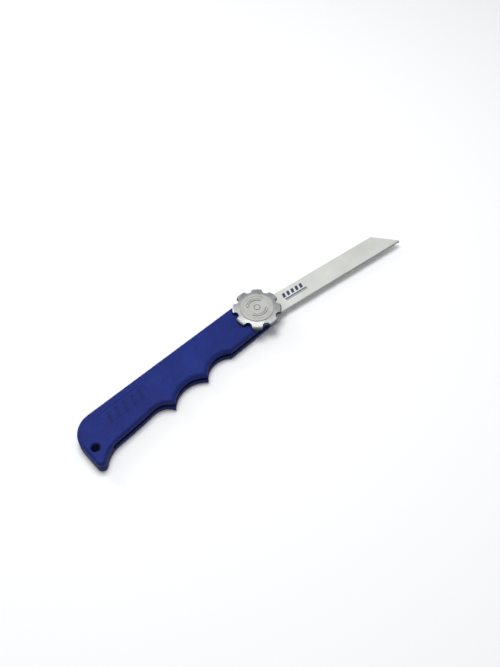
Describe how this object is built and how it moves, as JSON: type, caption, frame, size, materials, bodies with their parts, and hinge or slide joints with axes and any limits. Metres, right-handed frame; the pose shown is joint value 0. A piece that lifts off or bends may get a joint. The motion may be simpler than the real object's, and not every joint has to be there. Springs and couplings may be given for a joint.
{
  "type": "folding hand saw",
  "caption": "Folding saw: moulded handle with finger grooves, pivoting painted blade held by a scalloped clamp knob and a ball detent.",
  "frame": {"origin": "on the pivot axis, at the flat back face of the handle, where the pivot bolt's head is flush", "axes": "+X along the straight spine of the handle towards the blade's tip, +Y towards the spine, +Z towards the knob"},
  "size_m": [0.3145, 0.0462, 0.0169],
  "materials": {
    "handle_navy": "fine matte texture",
    "blade_paint": "satin off-white paint",
    "steel": "ground",
    "dark_steel": "blackened",
    "bronze": "satin",
    "brass": "satin",
    "knob_silver": "satin die-cast",
    "cap_grey": "satin"
  },
  "bodies": {
    "handle": {"handle_front": "handle_navy", "handle_back": "handle_navy", "handle_screws": "dark_steel", "pivot_bolt": "dark_steel", "back_wear_plate": "steel", "front_wear_plate": "steel", "thrust_washer": "bronze", "stop_pin": "steel", "detent_spring": "steel", "wave_spring": "steel"},
    "blade_set": {"blade_carrier": "steel", "carrier_cover": "steel", "carrier_screws": "dark_steel", "blade": "blade_paint"},
    "detent": {"detent_ball": "steel"},
    "clamp_washer": {"face_washer": "steel"},
    "knob": {"knob_body": "knob_silver", "knob_insert": "brass", "knob_cap": "cap_grey"}
  },
  "joints": [
    {"name": "blade_fold", "type": "hinge", "parent": "handle", "child": "blade_set", "pos_m": [0, 0, 0.00625], "axis": [0, 0, -1], "range_deg": [0, 173.2]},
    {"name": "detent_travel", "type": "slide", "parent": "handle", "child": "detent", "axis": [0, 0, 1], "range_m": [-0.00015, 0.00025], "stiffness_N_per_m": 300, "deforming": ["detent_spring"]},
    {"name": "knob_rise", "type": "slide", "parent": "handle", "child": "clamp_washer", "axis": [0, 0, 1], "range_m": [0, 0.00071], "deforming": ["wave_spring"]},
    {"name": "knob_turn", "type": "hinge", "parent": "clamp_washer", "child": "knob", "pos_m": [0, 0, 0.0125], "axis": [0, 0, 1], "range_deg": [0, 360]}
  ],
  "couplings": [
    {"joint": "knob_rise", "follows": "knob_turn", "m_per_rad": 0.00011141}
  ]
}
